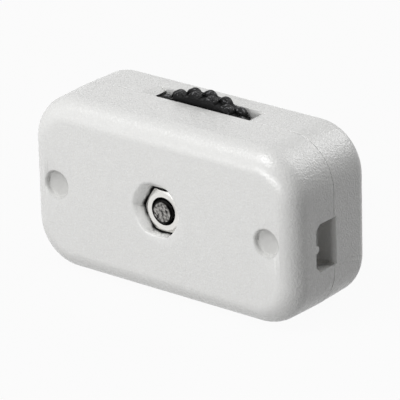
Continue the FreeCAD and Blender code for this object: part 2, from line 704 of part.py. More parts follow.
def contact_button(label, side):
    """Silver contact riveted to the tip of a strip's arm, facing the bridge."""
    body = new_body(label, across=f"{side}{BUTTON_REACH}", height="wheel_rise")
    face = f"({DISH_FLOOR} - button_gap)"
    turned(body, "Button", [
        ("0", "arm_gap"),
        ("button_shank_radius", "arm_gap"),
        ("button_shank_radius", STRIP_FACE),
        ("button_radius", STRIP_FACE),
        ("button_radius", f"{face} - button_round"),
        ("button_radius - button_round", face),
        ("0", face),
    ])
    return body


def piercing_pin(label, side, place):
    """Pointed pin riveted to a strip: it stands in the channel and pierces the cut core."""
    body = new_body(label, across=f"{side}{place}", height="pin_height")
    turned(body, "Pin", [
        ("0", "-pin_reach"),
        ("pin_tip_radius", "-pin_reach"),
        ("pin_radius", "-pin_reach + pin_point"),
        ("pin_radius", "arm_gap"),
        ("pin_flange_radius", "arm_gap"),
        ("pin_flange_radius", STRIP_FACE),
        ("pin_tail_radius", STRIP_FACE),
        ("pin_tail_radius", STRIP_BACK),
        ("0", STRIP_BACK),
    ])
    return body


# Click spring: a leaf on two feet in the rear half whose crown sits in a notch of the wheel.
def click_spring():
    body = new_body("click_spring", height=SPRING_HEIGHT)
    floor = "(well_depth + spring_seat_depth)"
    crown = f"({WHEEL_BACK} - spring_nub)"
    knee = "(spring_half_length - spring_foot)"
    half = "spring_crown / 2"
    right = [
        (half, crown), (knee, f"{floor} - spring_thickness"),
        ("spring_half_length", f"{floor} - spring_thickness"), ("spring_half_length", floor),
        (f"{knee} - spring_thickness / 2", floor),
        (f"{half} - spring_thickness / 4", f"{crown} + spring_thickness"),
    ]
    left = [(f"-({across})", depth) for across, depth in reversed(right)]
    profile = Drawing(body, "Profile", "XY_Plane").outline(right + left)
    pad(body, "SpringPad", profile, "spring_width", middle=True)
    return body


bodies = [
    front_housing(),
    rear_housing(),
    hex_nut(),
    clamp_screw(),
    thumbwheel(),
    contact_bridge(),
    bridge_rivet("upper_bridge_rivet", "+"),
    bridge_rivet("lower_bridge_rivet", "-"),
    click_spring(),
]
for hand, side in (("left", "-"), ("right", "")):
    bodies.append(contact_strip(f"{hand}_contact_strip", side))
    bodies.append(contact_button(f"{hand}_contact_button", side))
    bodies.append(piercing_pin(f"{hand}_inner_pin", side, PIN_INNER))
    bodies.append(piercing_pin(f"{hand}_outer_pin", side, PIN_OUTER))

doc.recompute()
for thing in doc.Objects:
    if "Invalid" in thing.State or "Error" in thing.State:
        raise RuntimeError(f"{thing.Label} failed: {thing.State}")
os.makedirs("parts", exist_ok=True)
for body in bodies:
    shape = body.Shape
    if shape.isNull() or not shape.isValid():
        raise RuntimeError(f"{body.Label} has no valid shape")
    shape.exportStep(f"parts/{body.Label}.step")
    box = shape.BoundBox
    print(f"{body.Label}: {len(shape.Solids)} solid, {shape.Volume:.2f} mm3")
    sides = [("x", box.XMin, box.XMax), ("y", box.YMin, box.YMax), ("z", box.ZMin, box.ZMax)]
    print("    " + ", ".join(f"{axis} {low:.2f} to {high:.2f}" for axis, low, high in sides))
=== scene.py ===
import bmesh
import bpy
import math
from mathutils import Matrix, Vector


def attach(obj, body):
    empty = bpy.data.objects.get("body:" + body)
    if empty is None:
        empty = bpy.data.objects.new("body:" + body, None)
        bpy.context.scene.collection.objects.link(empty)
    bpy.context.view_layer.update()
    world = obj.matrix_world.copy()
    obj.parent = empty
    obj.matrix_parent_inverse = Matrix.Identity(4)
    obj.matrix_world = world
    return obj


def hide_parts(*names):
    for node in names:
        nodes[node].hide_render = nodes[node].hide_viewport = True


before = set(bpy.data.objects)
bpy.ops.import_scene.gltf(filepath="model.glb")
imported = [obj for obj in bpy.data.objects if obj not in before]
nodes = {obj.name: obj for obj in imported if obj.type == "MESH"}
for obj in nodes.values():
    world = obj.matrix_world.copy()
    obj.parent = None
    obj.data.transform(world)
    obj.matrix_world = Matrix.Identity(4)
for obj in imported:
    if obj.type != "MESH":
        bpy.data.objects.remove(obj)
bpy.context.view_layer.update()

# Rear housing: the half that carries the wheel's boss, the contact strips and the click spring.
# It is injection moulded in white ABS, in a mould with spark-eroded sides and a smoother floor.
MM = 0.001


def linear(hex_colour):
    """The linear colour, with alpha, of an sRGB hex value."""
    channels = [int(hex_colour[i:i + 2], 16) / 255 for i in (0, 2, 4)]
    curve = [c / 12.92 if c <= 0.04045 else ((c + 0.055) / 1.055) ** 2.4 for c in channels]
    return (*curve, 1.0)


def add_node(tree, kind, inputs=None, **settings):
    """A new shader node with its settings; each input is a value or another node's output.

    In a Mix node for colours, input 0 is the share and inputs 6 and 7 are the two colours.
    """
    node = tree.nodes.new(kind)
    for name, setting in settings.items():
        setattr(node, name, setting)
    for socket, source in (inputs or {}).items():
        if isinstance(source, bpy.types.NodeSocket):
            tree.links.new(source, node.inputs[socket])
        else:
            node.inputs[socket].default_value = source
    return node


def start_material(name):
    """A new node material, with its tree, its shader and the object's own coordinates."""
    material = bpy.data.materials.new(name)
    material.use_nodes = True
    tree = material.node_tree
    coordinates = add_node(tree, "ShaderNodeTexCoord")
    return material, tree, tree.nodes["Principled BSDF"], coordinates


# Injection-moulded ABS. The eye sees a soft satin sheen, a faint waviness, fine clouding where
# the melt flowed, and the fine grain of a spark-eroded mould on the sides; the front and back were
# rubbed smoother. The grain is really about 0.05 mm and is drawn coarser, so that it shows.
white_abs, tree, surface, coordinates = start_material("white_moulded_abs")
surface.inputs["IOR"].default_value = 1.54
place = coordinates.outputs["Object"]
flow_cloud = 0.9 * MM
peel_size = 1.6 * MM
grain_size = 0.3 * MM
cloud = add_node(
    tree, "ShaderNodeTexNoise",
    {"Vector": place, "Scale": 1 / flow_cloud, "Detail": 3.0, "Roughness": 0.6},
)
tint = add_node(
    tree, "ShaderNodeMix", {0: cloud.outputs["Fac"], 6: linear("EBEBE9"), 7: linear("E0E0DF")},
    data_type="RGBA",
)
peel = add_node(tree, "ShaderNodeTexNoise", {"Vector": place, "Scale": 1 / peel_size, "Detail": 2.0})
grain = add_node(tree, "ShaderNodeTexNoise", {"Vector": place, "Scale": 1 / grain_size, "Detail": 1.0})
sheen_change = add_node(
    tree, "ShaderNodeMapRange",
    {"Value": cloud.outputs["Fac"], "From Min": 0.3, "From Max": 0.7, "To Min": 0.25, "To Max": 0.29},
)
peel_bump = add_node(
    tree, "ShaderNodeBump", {"Height": peel.outputs["Fac"], "Strength": 0.2, "Distance": 0.02 * MM}
)
facing = add_node(tree, "ShaderNodeSeparateXYZ", {"Vector": coordinates.outputs["Normal"]})
towards_face = add_node(tree, "ShaderNodeMath", {0: facing.outputs["Y"]}, operation="ABSOLUTE")
grain_left = add_node(
    tree, "ShaderNodeMapRange",
    {"Value": towards_face.outputs["Value"], "From Min": 0.4, "From Max": 0.95, "To Min": 1.0,
     "To Max": 0.35},
)
grain_bump = add_node(
    tree, "ShaderNodeBump",
    {"Height": grain.outputs["Fac"], "Strength": grain_left.outputs["Result"], "Distance": 0.085 * MM,
     "Normal": peel_bump.outputs["Normal"]},
)
tree.links.new(tint.outputs[2], surface.inputs["Base Color"])
tree.links.new(sheen_change.outputs["Result"], surface.inputs["Roughness"])
tree.links.new(grain_bump.outputs["Normal"], surface.inputs["Normal"])


def finish_node(name, material):
    """Give a carried-over CAD node its one material."""
    mesh = nodes[name].data
    mesh.materials.clear()
    mesh.materials.append(material)


finish_node("rear_housing", white_abs)

# Contact strips, pins and buttons: each strip is stamped from brass sheet and staked in the rear
# half, its two turned brass pins pierce the cut core, and a silver button is riveted to its arm.

# Stamped brass sheet. The eye sees a warm yellow metal with fine rolling lines along the strip
# and small brown patches of tarnish.
brass, tree, surface, coordinates = start_material("stamped_brass")
surface.inputs["Metallic"].default_value = 1.0
place = coordinates.outputs["Object"]
rolling_pitch = 0.12 * MM
rolling_length = 4 * MM
tarnish_patch = 2.5 * MM
rolled = add_node(
    tree, "ShaderNodeMapping",
    {"Vector": place, "Scale": (1 / rolling_length, 1 / rolling_pitch, 1 / rolling_pitch)},
)
lines = add_node(
    tree, "ShaderNodeTexNoise", {"Vector": rolled.outputs["Vector"], "Scale": 1.0, "Detail": 2.0}
)
tarnish = add_node(tree, "ShaderNodeTexNoise", {"Vector": place, "Scale": 1 / tarnish_patch, "Detail": 4.0})
tarnish_share = add_node(
    tree, "ShaderNodeMapRange",
    {"Value": tarnish.outputs["Fac"], "From Min": 0.5, "From Max": 0.75, "To Min": 0.0, "To Max": 0.7},
)
tint = add_node(
    tree, "ShaderNodeMix",
    {0: tarnish_share.outputs["Result"], 6: linear("D8B468"), 7: linear("A67F45")}, data_type="RGBA",
)
dullness = add_node(
    tree, "ShaderNodeMapRange", {"Value": lines.outputs["Fac"], "To Min": 0.22, "To Max": 0.42}
)
line_bump = add_node(
    tree, "ShaderNodeBump", {"Height": lines.outputs["Fac"], "Strength": 0.3, "Distance": 0.006 * MM}
)
tree.links.new(tint.outputs[2], surface.inputs["Base Color"])
tree.links.new(dullness.outputs["Result"], surface.inputs["Roughness"])
tree.links.new(line_bump.outputs["Normal"], surface.inputs["Normal"])

# Fine silver, cold headed. The eye sees a pale satin metal, a little yellowed by handling.
silver, tree, surface, coordinates = start_material("headed_silver")
surface.inputs["Metallic"].default_value = 1.0
place = coordinates.outputs["Object"]
stain_patch = 0.7 * MM
stain = add_node(tree, "ShaderNodeTexNoise", {"Vector": place, "Scale": 1 / stain_patch, "Detail": 3.0})
tint = add_node(
    tree, "ShaderNodeMix", {0: stain.outputs["Fac"], 6: linear("DEDDDA"), 7: linear("BDB8AC")},
    data_type="RGBA",
)
dullness = add_node(
    tree, "ShaderNodeMapRange", {"Value": stain.outputs["Fac"], "To Min": 0.2, "To Max": 0.4}
)
tree.links.new(tint.outputs[2], surface.inputs["Base Color"])
tree.links.new(dullness.outputs["Result"], surface.inputs["Roughness"])

for hand in ("left", "right"):
    finish_node(f"{hand}_contact_strip", brass)
    finish_node(f"{hand}_inner_pin", brass)
    finish_node(f"{hand}_outer_pin", brass)
    finish_node(f"{hand}_contact_button", silver)

# Click spring: a leaf of blued spring steel on two feet behind the wheel, bent cold from strip.
# The eye sees a dark grey metal with a cool cast and lines along its length.
spring_steel, tree, surface, coordinates = start_material("blued_spring_steel")
surface.inputs["Metallic"].default_value = 1.0
place = coordinates.outputs["Object"]
drawn = add_node(
    tree, "ShaderNodeMapping",
    {"Vector": place, "Scale": (1 / rolling_length, 1 / rolling_pitch, 1 / rolling_pitch)},
)
lines = add_node(
    tree, "ShaderNodeTexNoise", {"Vector": drawn.outputs["Vector"], "Scale": 1.0, "Detail": 2.0}
)
tint = add_node(
    tree, "ShaderNodeMix", {0: lines.outputs["Fac"], 6: linear("A3A7AD"), 7: linear("73787F")},
    data_type="RGBA",
)
dullness = add_node(
    tree, "ShaderNodeMapRange", {"Value": lines.outputs["Fac"], "To Min": 0.25, "To Max": 0.45}
)
tree.links.new(tint.outputs[2], surface.inputs["Base Color"])
tree.links.new(dullness.outputs["Result"], surface.inputs["Roughness"])
finish_node("click_spring", spring_steel)

# Thumbwheel: a disc moulded in black phenolic, with two staggered rows of round knobs on its rim,
# a dish for the brass bridge, a hub that turns on the rear half's boss, and four click notches.
# It is pressed in one piece in a closed mould, and its two faces come out flat and smooth.
wheel_axis = Vector((0, 0.5, 15.445)) * MM
bore_radius = 4.82 * MM
hub_radius = 5.6 * MM
ring_seat_radius = 7.5 * MM
dish_radius = 12 * MM
rim_radius = 13.3 * MM
hub_front = 0.1 * MM
wheel_front = 0.45 * MM
dish_floor = 0.95 * MM
bridge_floor = 1.45 * MM
wheel_back = 3.45 * MM
edge_round = 0.14 * MM
knob_radius = 1.2 * MM
knob_ring = 12.85 * MM
knobs_a_row = 28
knob_phase = 1.9
knob_squareness = 5.5
knob_half_length = 0.77 * MM
row_inset = 0.775 * MM
wheel_steps = 112
knob_steps = 20


def closed_mesh(name, vertices, faces):
    """A mesh object of these vertices and faces, with doubles merged and normals outward."""
    shape = bmesh.new()
    made = [shape.verts.new(vertex) for vertex in vertices]
    for face in faces:
        shape.faces.new([made[i] for i in face])
    bmesh.ops.remove_doubles(shape, verts=shape.verts, dist=1e-7)
    bmesh.ops.dissolve_degenerate(shape, edges=shape.edges, dist=1e-8)
    bmesh.ops.recalc_face_normals(shape, faces=shape.faces)
    mesh = bpy.data.meshes.new(name)
    shape.to_mesh(mesh)
    shape.free()
    piece = bpy.data.objects.new(name, mesh)
    bpy.context.scene.collection.objects.link(piece)
    return piece


def turned_shape(profile, steps, centre):
    """Vertices and faces of a closed profile of radius and depth, turned about Y at a centre."""
    vertices = []
    for step in range(steps):
        angle = 2 * math.pi * step / steps
        for radius, depth in profile:
            spot = Vector((radius * math.sin(angle), depth, radius * math.cos(angle)))
            vertices.append(centre + spot)
    count = len(profile)
    faces = []
    for step in range(steps):
        here, there = step * count, (step + 1) % steps * count
        for i in range(count):
            j = (i + 1) % count
            faces.append((here + i, here + j, there + j, there + i))
    return vertices, faces


def carve(piece, tool, operation):
    """Join a tool shape to a piece, or cut it out, and throw the tool away."""
    change = piece.modifiers.new("carve", "BOOLEAN")
    change.object = tool
    change.operation = operation
    change.solver = "EXACT"
    view = bpy.context.evaluated_depsgraph_get()
    result = bpy.data.meshes.new_from_object(piece.evaluated_get(view))
    piece.modifiers.clear()
    piece.data = result
    bpy.data.objects.remove(tool)


def smooth_faces(piece, sharp_angle):
    """Shade smooth, apart from edges sharper than the angle, and keep the large faces flat."""
    mesh = piece.data
    mesh.polygons.foreach_set("use_smooth", [True] * len(mesh.polygons))
    mesh.set_sharp_from_angle(angle=math.radians(sharp_angle))
    flat_faces = piece.modifiers.new("flat_faces", "WEIGHTED_NORMAL")
    flat_faces.keep_sharp = True
    flat_faces.weight = 90
    view = bpy.context.evaluated_depsgraph_get()
    result = bpy.data.meshes.new_from_object(piece.evaluated_get(view))
    piece.modifiers.clear()
    piece.data = result


wheel_profile = [
    (bore_radius, hub_front), (hub_radius - edge_round, hub_front), (hub_radius, hub_front + edge_round),
    (hub_radius, bridge_floor), (ring_seat_radius, bridge_floor), (ring_seat_radius, dish_floor),
    (dish_radius, dish_floor), (dish_radius, wheel_front + edge_round),
    (dish_radius + edge_round, wheel_front), (rim_radius - edge_round, wheel_front),
    (rim_radius - edge_round * 0.3, wheel_front + edge_round * 0.3),
    (rim_radius, wheel_front + edge_round), (rim_radius, wheel_back - edge_round),
    (rim_radius - edge_round * 0.3, wheel_back - edge_round * 0.3),
    (rim_radius - edge_round, wheel_back), (bore_radius, wheel_back),
]
thumbwheel = closed_mesh("thumbwheel_moulding", *turned_shape(wheel_profile, wheel_steps, wheel_axis))

# Each knob is a squarish bead: round seen from the front, with well rounded shoulders.
for row_middle, phase in (
    (wheel_front + row_inset, knob_phase + 180 / knobs_a_row), (wheel_back - row_inset, knob_phase),
):
    vertices, faces = [], []
    stations = [-1, -0.96, -0.84, -0.64, -0.36, 0, 0.36, 0.64, 0.84, 0.96, 1]
    profile = []
    for t in stations:
        share = (1 - abs(t) ** knob_squareness) ** (1 / knob_squareness)
        profile.append((knob_radius * share, row_middle + knob_half_length * t))
    for knob in range(knobs_a_row):
        angle = math.radians(phase + 360 * knob / knobs_a_row)
        centre = wheel_axis + Vector((knob_ring * math.sin(angle), 0, knob_ring * math.cos(angle)))
        bead_vertices, bead_faces = turned_shape(profile, knob_steps, centre)
        faces += [tuple(i + len(vertices) for i in face) for face in bead_faces]
        vertices += bead_vertices
    carve(thumbwheel, closed_mesh("knobs", vertices, faces), "UNION")

# The bridge lies in the dish with its two lobes in seats of their own outline.
lobe_start = 6.4 * MM
lobe_half = 2.6 * MM
lobe_reach = 11.5 * MM
lobe_corner = 1.5 * MM
corner_steps = 6
for side in (-1, 1):
    outline = [(lobe_start, -lobe_half), (lobe_reach - lobe_corner, -lobe_half)]
    for step in range(1, corner_steps):
        turn = math.pi / 2 * step / corner_steps
        across = lobe_reach - lobe_corner * (1 - math.sin(turn))
        outline.append((across, -lobe_half + lobe_corner * (1 - math.cos(turn))))
    outline += [(across, -up) for across, up in reversed(outline)]
    vertices = [
        wheel_axis + Vector((side * across, depth, up))
        for depth in (dish_floor - 0.3 * MM, bridge_floor + 0.004 * MM) for across, up in outline
    ]
    count = len(outline)
    faces = [tuple(range(count)), tuple(range(2 * count - 1, count - 1, -1))]
    faces += [(i, (i + 1) % count, count + (i + 1) % count, count + i) for i in range(count)]
    carve(thumbwheel, closed_mesh("lobe_seat", vertices, faces), "DIFFERENCE")

rivet_hole_radius = 0.42 * MM
rivet_hole_top = bridge_floor - 0.3 * MM
rivet_hole_end = 2.7 * MM
rivet_offset = 6.55 * MM
for side in (-1, 1):
    drill = [
        (0, rivet_hole_top), (rivet_hole_radius, rivet_hole_top), (rivet_hole_radius, rivet_hole_end),
        (0, rivet_hole_end),
    ]
    hole_centre = wheel_axis + Vector((0, 0, side * rivet_offset))
    carve(thumbwheel, closed_mesh("rivet_hole", *turned_shape(drill, 20, hole_centre)), "DIFFERENCE")

notch = [(-1.11, 0.1), (-0.45, -0.35), (0.45, -0.35), (1.11, 0.1)]
notch_middle = 9.9 * MM
notch_half_length = 1.9 * MM
for quarter in range(4):
    turn = Matrix.Rotation(quarter * math.pi / 2, 3, "Y")
    vertices = [
        wheel_axis
        + turn @ Vector((across * MM, wheel_back + depth * MM, notch_middle + end * notch_half_length))
        for end in (-1, 1) for across, depth in notch
    ]
    faces = [(0, 1, 2, 3), (7, 6, 5, 4), (0, 4, 5, 1), (1, 5, 6, 2), (2, 6, 7, 3), (3, 7, 4, 0)]
    carve(thumbwheel, closed_mesh("notch", vertices, faces), "DIFFERENCE")

smooth_faces(thumbwheel, 40)

# Moulded black phenolic. The eye sees a deep black that hardly shines, with sharp little pale specks
# on the crests of the knobs, where the mould was eroded rough and thumbs rub. The pale specks in the
# colour are partly dust and partly painted glints.
black_phenolic, tree, surface, coordinates = start_material("black_moulded_phenolic")
surface.inputs["IOR"].default_value = 1.55
surface.inputs["Specular IOR Level"].default_value = 0.12
place = coordinates.outputs["Object"]
speck_size = 0.34 * MM
crest_from = 13.3 * MM
crest_to = 13.95 * MM
specks = add_node(tree, "ShaderNodeTexNoise", {"Vector": place, "Scale": 1 / speck_size, "Detail": 3.0})
speck_share = add_node(
    tree, "ShaderNodeMapRange",
    {"Value": specks.outputs["Fac"], "From Min": 0.58, "From Max": 0.68, "To Min": 0.0, "To Max": 1.0},
)
flattened = add_node(
    tree, "ShaderNodeVectorMath", {0: place, 1: (1, 0, 1)}, operation="MULTIPLY",
)
from_axis = add_node(
    tree, "ShaderNodeVectorMath",
    {0: flattened.outputs["Vector"], 1: (0, 0, wheel_axis.z)}, operation="DISTANCE",
)
crest_share = add_node(
    tree, "ShaderNodeMapRange",
    {"Value": from_axis.outputs["Value"], "From Min": crest_from, "From Max": crest_to, "To Min": 0.04,
     "To Max": 1.0},
)
dust_and_glint = add_node(
    tree, "ShaderNodeMath", {0: speck_share.outputs["Result"], 1: crest_share.outputs["Result"]},
    operation="MULTIPLY",
)
# Pale specks on the knob crests: partly dust, partly painted glints.
tint = add_node(
    tree, "ShaderNodeMix", {0: dust_and_glint.outputs["Value"], 6: linear("0C0C0D"), 7: linear("8E8E91")},
    data_type="RGBA",
)
dullness = add_node(
    tree, "ShaderNodeMapRange", {"Value": specks.outputs["Fac"], "To Min": 0.35, "To Max": 0.6}
)
speck_height = add_node(
    tree, "ShaderNodeMath", {0: specks.outputs["Fac"], 1: crest_share.outputs["Result"]},
    operation="MULTIPLY",
)
speck_bump = add_node(
    tree, "ShaderNodeBump", {"Height": speck_height.outputs["Value"], "Strength": 0.7, "Distance": 0.08 * MM}
)
tree.links.new(tint.outputs[2], surface.inputs["Base Color"])
tree.links.new(dullness.outputs["Result"], surface.inputs["Roughness"])
tree.links.new(speck_bump.outputs["Normal"], surface.inputs["Normal"])
thumbwheel.data.materials.clear()
thumbwheel.data.materials.append(black_phenolic)
finish_node("thumbwheel", black_phenolic)
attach(thumbwheel, "wheel")
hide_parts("thumbwheel")

# Contact bridge: a ring with two lobes, stamped from brass sheet and let into the wheel's dish. Two
# brass drive rivets hold it there, and it joins the two strips when the wheel is turned to on.
for name in ("contact_bridge", "upper_bridge_rivet", "lower_bridge_rivet"):
    finish_node(name, brass)

# Front housing: the other half, moulded in the same white ABS. A hexagonal pocket holds the nut,
# and the mould maker rolled its rim over softly, so that the nut can be pressed in.
front_face = -9.5 * MM
seat_half = 3.225 * MM
rim_roll = 0.825 * MM
rim_roundness = 0.8
rim_fade = 1.3
rim_shift = Vector((-0.7, 0, 0.36)) * MM
rim_reach = 5.3 * MM
round_reach = 1.1
roll_depth = 1.15 * MM
moat_half = 3.66 * MM
moat_depth = 3.2 * MM
screw_axis = Vector((0, 0.5, 13.875)) * MM
front_shell = bpy.data.objects.new("front_shell", nodes["front_housing"].data.copy())
bpy.context.scene.collection.objects.link(front_shell)
rim_steps = 144


def pocket_ring(reach, drop, roundness):
    """One ring of the nut pocket's wall: a hexagon of this half width, off centre where it is round."""
    centre = screw_axis + rim_shift * min(1, roundness / rim_roundness) * (roundness < 1)
    ring = []
    for step in range(rim_steps):
        angle = 2 * math.pi * step / rim_steps
        off_flat = (math.degrees(angle) % 60) - 30
        hexagonal = 1 / math.cos(math.radians(off_flat))
        radius = reach * ((1 - roundness) * hexagonal + roundness * round_reach)
        spot = Vector((radius * math.cos(angle), front_face + drop, radius * math.sin(angle)))
        ring.append(centre + spot)
    return ring


drill_top = front_face - 0.3 * MM
drill_end = front_face + moat_depth
drilled = [(0, drill_top), (rim_reach, drill_top), (rim_reach, drill_end), (0, drill_end)]
carve(front_shell, closed_mesh("rim_seat", *turned_shape(drilled, 96, screw_axis)), "DIFFERENCE")

# Each station of the rim is its reach, its drop from the face and how round it is there. It is set
# closer at the top of the roll, where the rim turns fastest.
stations = [(rim_reach, 0, 1), (seat_half + rim_roll, 0, rim_roundness)]
rolled_in = rim_roll + seat_half - moat_half
for share in (0.02, 0.06, 0.12, 0.2, 0.3, 0.42, 0.56, 0.72, 0.88, 1):
    reach = moat_half + rolled_in * (1 - math.sqrt(1 - (1 - share) ** 2))
    stations.append((reach, roll_depth * share, rim_roundness * (1 - share) ** rim_fade))
ring_end = moat_depth + 0.05 * MM
stations += [(moat_half, ring_end, 0), (rim_reach, ring_end, 1)]
vertices = [spot for reach, drop, roundness in stations for spot in pocket_ring(reach, drop, roundness)]
faces = []
for row in range(len(stations)):
    here, there = row * rim_steps, (row + 1) % len(stations) * rim_steps
    for step in range(rim_steps):
        following = (step + 1) % rim_steps
        faces.append((here + step, here + following, there + following, there + step))
carve(front_shell, closed_mesh("pocket_rim", vertices, faces), "UNION")
smooth_faces(front_shell, 28)

# ABS with painted shade. Deep on the pocket's steep walls its colour turns nearly black in uneven
# patches: this is painted shade, for the shade in the narrow gap around the nut.
pocket_shade_abs, tree, surface, coordinates = start_material("abs_painted_pocket_shade")
surface.inputs["IOR"].default_value = 1.54
surface.inputs["Roughness"].default_value = 0.4
place = coordinates.outputs["Object"]
shade_patch_size = 1.1 * MM
shade_top = -7.85 * MM
shade_full = -7.35 * MM
shade_waver = 0.3 * MM
shade_patches = add_node(tree, "ShaderNodeTexNoise", {"Vector": place, "Scale": 1 / shade_patch_size, "Detail": 3.0})
uneven = add_node(
    tree, "ShaderNodeMapRange",
    {"Value": shade_patches.outputs["Fac"], "From Min": 0.3, "From Max": 0.7, "To Min": -shade_waver,
     "To Max": shade_waver},
)
level = add_node(tree, "ShaderNodeSeparateXYZ", {"Vector": place})
uneven_level = add_node(
    tree, "ShaderNodeMath", {0: level.outputs["Y"], 1: uneven.outputs["Result"]}, operation="ADD"
)
shaded_share = add_node(
    tree, "ShaderNodeMapRange",
    {"Value": uneven_level.outputs["Value"], "From Min": shade_top, "From Max": shade_full, "To Min": 0.0,
     "To Max": 1.0},
)
tint = add_node(
    tree, "ShaderNodeMix", {0: shaded_share.outputs["Result"], 6: linear("E6E6E4"), 7: linear("161514")},
    data_type="RGBA",
)
tree.links.new(tint.outputs[2], surface.inputs["Base Color"])

# Matt ABS in the two dimples. The eye sees a slightly greyer, matt floor there. The matt finish is
# where the mould's round pins weren't polished; the grey is painted shade, for the shade in the
# hollows.
dimple_shade_abs, tree, surface, coordinates = start_material("matt_abs_painted_dimple_shade")
surface.inputs["IOR"].default_value = 1.54
surface.inputs["Roughness"].default_value = 0.5
place = coordinates.outputs["Object"]
shade_mottle_size = 0.6 * MM
shade_mottle = add_node(tree, "ShaderNodeTexNoise", {"Vector": place, "Scale": 1 / shade_mottle_size, "Detail": 3.0})
tint = add_node(
    tree, "ShaderNodeMix", {0: shade_mottle.outputs["Fac"], 6: linear("D0D0CE"), 7: linear("C2C2C0")},
    data_type="RGBA",
)
tree.links.new(tint.outputs[2], surface.inputs["Base Color"])

front_shell.data.materials.clear()
for material in (white_abs, pocket_shade_abs, dimple_shade_abs):
    front_shell.data.materials.append(material)
pocket_reach = 4.4 * MM
dimple_across = 19.7 * MM
dimple_reach = 2.4 * MM
dimple_lip = 0.1 * MM
dimple_end = 1.1 * MM
for face in front_shell.data.polygons:
    spot = face.center - screw_axis
    sunk = spot.y - front_face
    steep = abs(face.normal.y) < 0.5
    in_pocket = math.hypot(spot.x, spot.z) < pocket_reach
    in_dimple = math.hypot(abs(spot.x) - dimple_across, spot.z) < dimple_reach
    # Steep faces deep in the nut pocket take the ABS with painted shade.
    if steep and in_pocket and roll_depth * 0.9 < sunk < moat_depth:
        face.material_index = 1
    # The dimple floors take the matt ABS, whose grey is painted shade.
    if in_dimple and dimple_lip < sunk < dimple_end:
        face.material_index = 2
finish_node("front_housing", white_abs)
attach(front_shell, "front_half")
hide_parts("front_housing")

# Hex nut: milled from drawn steel bar with its corners bevelled, tapped, then nickel plated. It is
# pushed into its pocket in the front half, with its countersunk side outward.
nut_front = -8.4 * MM
nut_back = -6 * MM
nut_across = 6.35 * MM
nut_bevel_start = 2.95 * MM
nut_corner = nut_across / math.sqrt(3)
cone_reach = nut_corner + 0.05 * MM
bevel_drop = (cone_reach - nut_bevel_start) * math.tan(math.radians(30))
cone_spare = 0.001 * MM
tap_radius = 1.8 * MM
countersink_radius = 2.4 * MM
countersink_depth = 0.4 * MM
tap_spare = 0.2 * MM
hexagon = [
    (nut_corner * math.cos(math.pi / 3 * k), nut_corner * math.sin(math.pi / 3 * k)) for k in range(6)
]
vertices = [
    screw_axis + Vector((across, depth, up)) for depth in (nut_front, nut_back) for across, up in hexagon
]
faces = [tuple(range(6)), tuple(range(11, 5, -1))]
faces += [(i, (i + 1) % 6, 6 + (i + 1) % 6, 6 + i) for i in range(6)]
hex_nut = closed_mesh("hex_nut_tapped", vertices, faces)
bevelled = [
    (0, nut_front - cone_spare), (nut_bevel_start, nut_front - cone_spare),
    (cone_reach, nut_front + bevel_drop), (cone_reach, nut_back - bevel_drop),
    (nut_bevel_start, nut_back + cone_spare), (0, nut_back + cone_spare),
]
carve(hex_nut, closed_mesh("bevel_cone", *turned_shape(bevelled, 96, screw_axis)), "INTERSECT")
tapped = [
    (0, nut_front - tap_spare), (countersink_radius, nut_front - tap_spare),
    (tap_radius, nut_front + countersink_depth), (tap_radius, nut_back - countersink_depth),
    (countersink_radius, nut_back + tap_spare), (0, nut_back + tap_spare),
]
carve(hex_nut, closed_mesh("tapped_hole", *turned_shape(tapped, 64, screw_axis)), "DIFFERENCE")
smooth_faces(hex_nut, 25)

# Bright nickel plate on milled steel. The eye sees a very light, slightly warm metal with a satin
# bloom and short scratches from the barrel that it was plated in.
nickel, tree, surface, coordinates = start_material("nickel_plated_steel")
surface.inputs["Metallic"].default_value = 1.0
place = coordinates.outputs["Object"]
scratch_size = 0.25 * MM
scratches = add_node(tree, "ShaderNodeTexNoise", {"Vector": place, "Scale": 1 / scratch_size, "Detail": 3.0})
tint = add_node(
    tree, "ShaderNodeMix", {0: scratches.outputs["Fac"], 6: linear("ECEBE8"), 7: linear("D8D6D2")},
    data_type="RGBA",
)
dullness = add_node(
    tree, "ShaderNodeMapRange", {"Value": scratches.outputs["Fac"], "To Min": 0.2, "To Max": 0.42}
)
scratch_bump = add_node(
    tree, "ShaderNodeBump", {"Height": scratches.outputs["Fac"], "Strength": 0.3, "Distance": 0.01 * MM}
)
tree.links.new(tint.outputs[2], surface.inputs["Base Color"])
tree.links.new(dullness.outputs["Result"], surface.inputs["Roughness"])
tree.links.new(scratch_bump.outputs["Normal"], surface.inputs["Normal"])

# Tapped and cut steel, where the plating is thin. Its colour is nearly black, a little paler in
# patches: this is painted shade, for the shade deep in the tapped hole and between the threads.
thread_shade_steel, tree, surface, coordinates = start_material("cut_steel_painted_thread_shade")
surface.inputs["Metallic"].default_value = 1.0
place = coordinates.outputs["Object"]
thread_shade_size = 0.5 * MM
thread_shade_mottle = add_node(tree, "ShaderNodeTexNoise", {"Vector": place, "Scale": 1 / thread_shade_size, "Detail": 3.0})
tint = add_node(
    tree, "ShaderNodeMix", {0: thread_shade_mottle.outputs["Fac"], 6: linear("0C0C0B"), 7: linear("232221")},
    data_type="RGBA",
)
dullness = add_node(
    tree, "ShaderNodeMapRange", {"Value": thread_shade_mottle.outputs["Fac"], "To Min": 0.35, "To Max": 0.6}
)
tree.links.new(tint.outputs[2], surface.inputs["Base Color"])
tree.links.new(dullness.outputs["Result"], surface.inputs["Roughness"])

thread_reach = 2.19 * MM
hex_nut.data.materials.clear()
hex_nut.data.materials.append(nickel)
hex_nut.data.materials.append(thread_shade_steel)
# Faces inside the tapped hole take the steel with painted thread shade.
for face in hex_nut.data.polygons:
    spot = face.center - screw_axis
    if math.hypot(spot.x, spot.z) < thread_reach and abs(face.normal.y) < 0.95:
        face.material_index = 1
finish_node("hex_nut", nickel)
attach(hex_nut, "front_half")
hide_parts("hex_nut")

